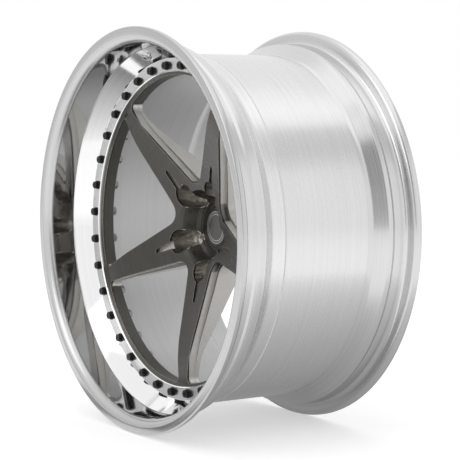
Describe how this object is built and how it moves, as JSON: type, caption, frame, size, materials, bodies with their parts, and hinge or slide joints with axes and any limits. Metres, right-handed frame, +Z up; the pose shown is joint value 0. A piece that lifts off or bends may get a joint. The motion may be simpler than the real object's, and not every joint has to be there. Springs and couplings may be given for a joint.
{
  "type": "forged wheel",
  "caption": "Three-piece forged car wheel with a deep polished lip, bolted five-spoke centre and deep bare barrel.",
  "frame": {"origin": "centre of the hub mounting pad, on the spin axis", "axes": "+Y along the spin axis towards the car, -Y towards the polished lip; +Z up; the valve is near the top"},
  "size_m": [0.517, 0.263, 0.517],
  "materials": {
    "polished_lip": "mirror polished",
    "raw_barrel": "fine turned",
    "tinted_centre": "brushed, dark tinted clear coat",
    "black_steel": "satin black",
    "plated_steel": "zinc plated",
    "sealant": "matte",
    "cap_body": "satin dark",
    "cap_inlay": "fine brushed",
    "rubber_ring": "matte",
    "valve_metal": "polished",
    "valve_brass": "plain"
  },
  "bodies": {
    "root": {"outer_lip": "polished_lip", "inner_barrel": "raw_barrel", "joint_sealant": "sealant", "wheel_centre": "tinted_centre", "assembly_bolts": "black_steel", "assembly_nuts": "plated_steel", "centre_cap": "cap_body", "cap_disc": "cap_inlay", "cap_ring": "rubber_ring", "valve_stem": "valve_metal", "valve_seal": "rubber_ring", "valve_nut": "valve_metal", "valve_core": "valve_brass"}
  },
  "joints": []
}
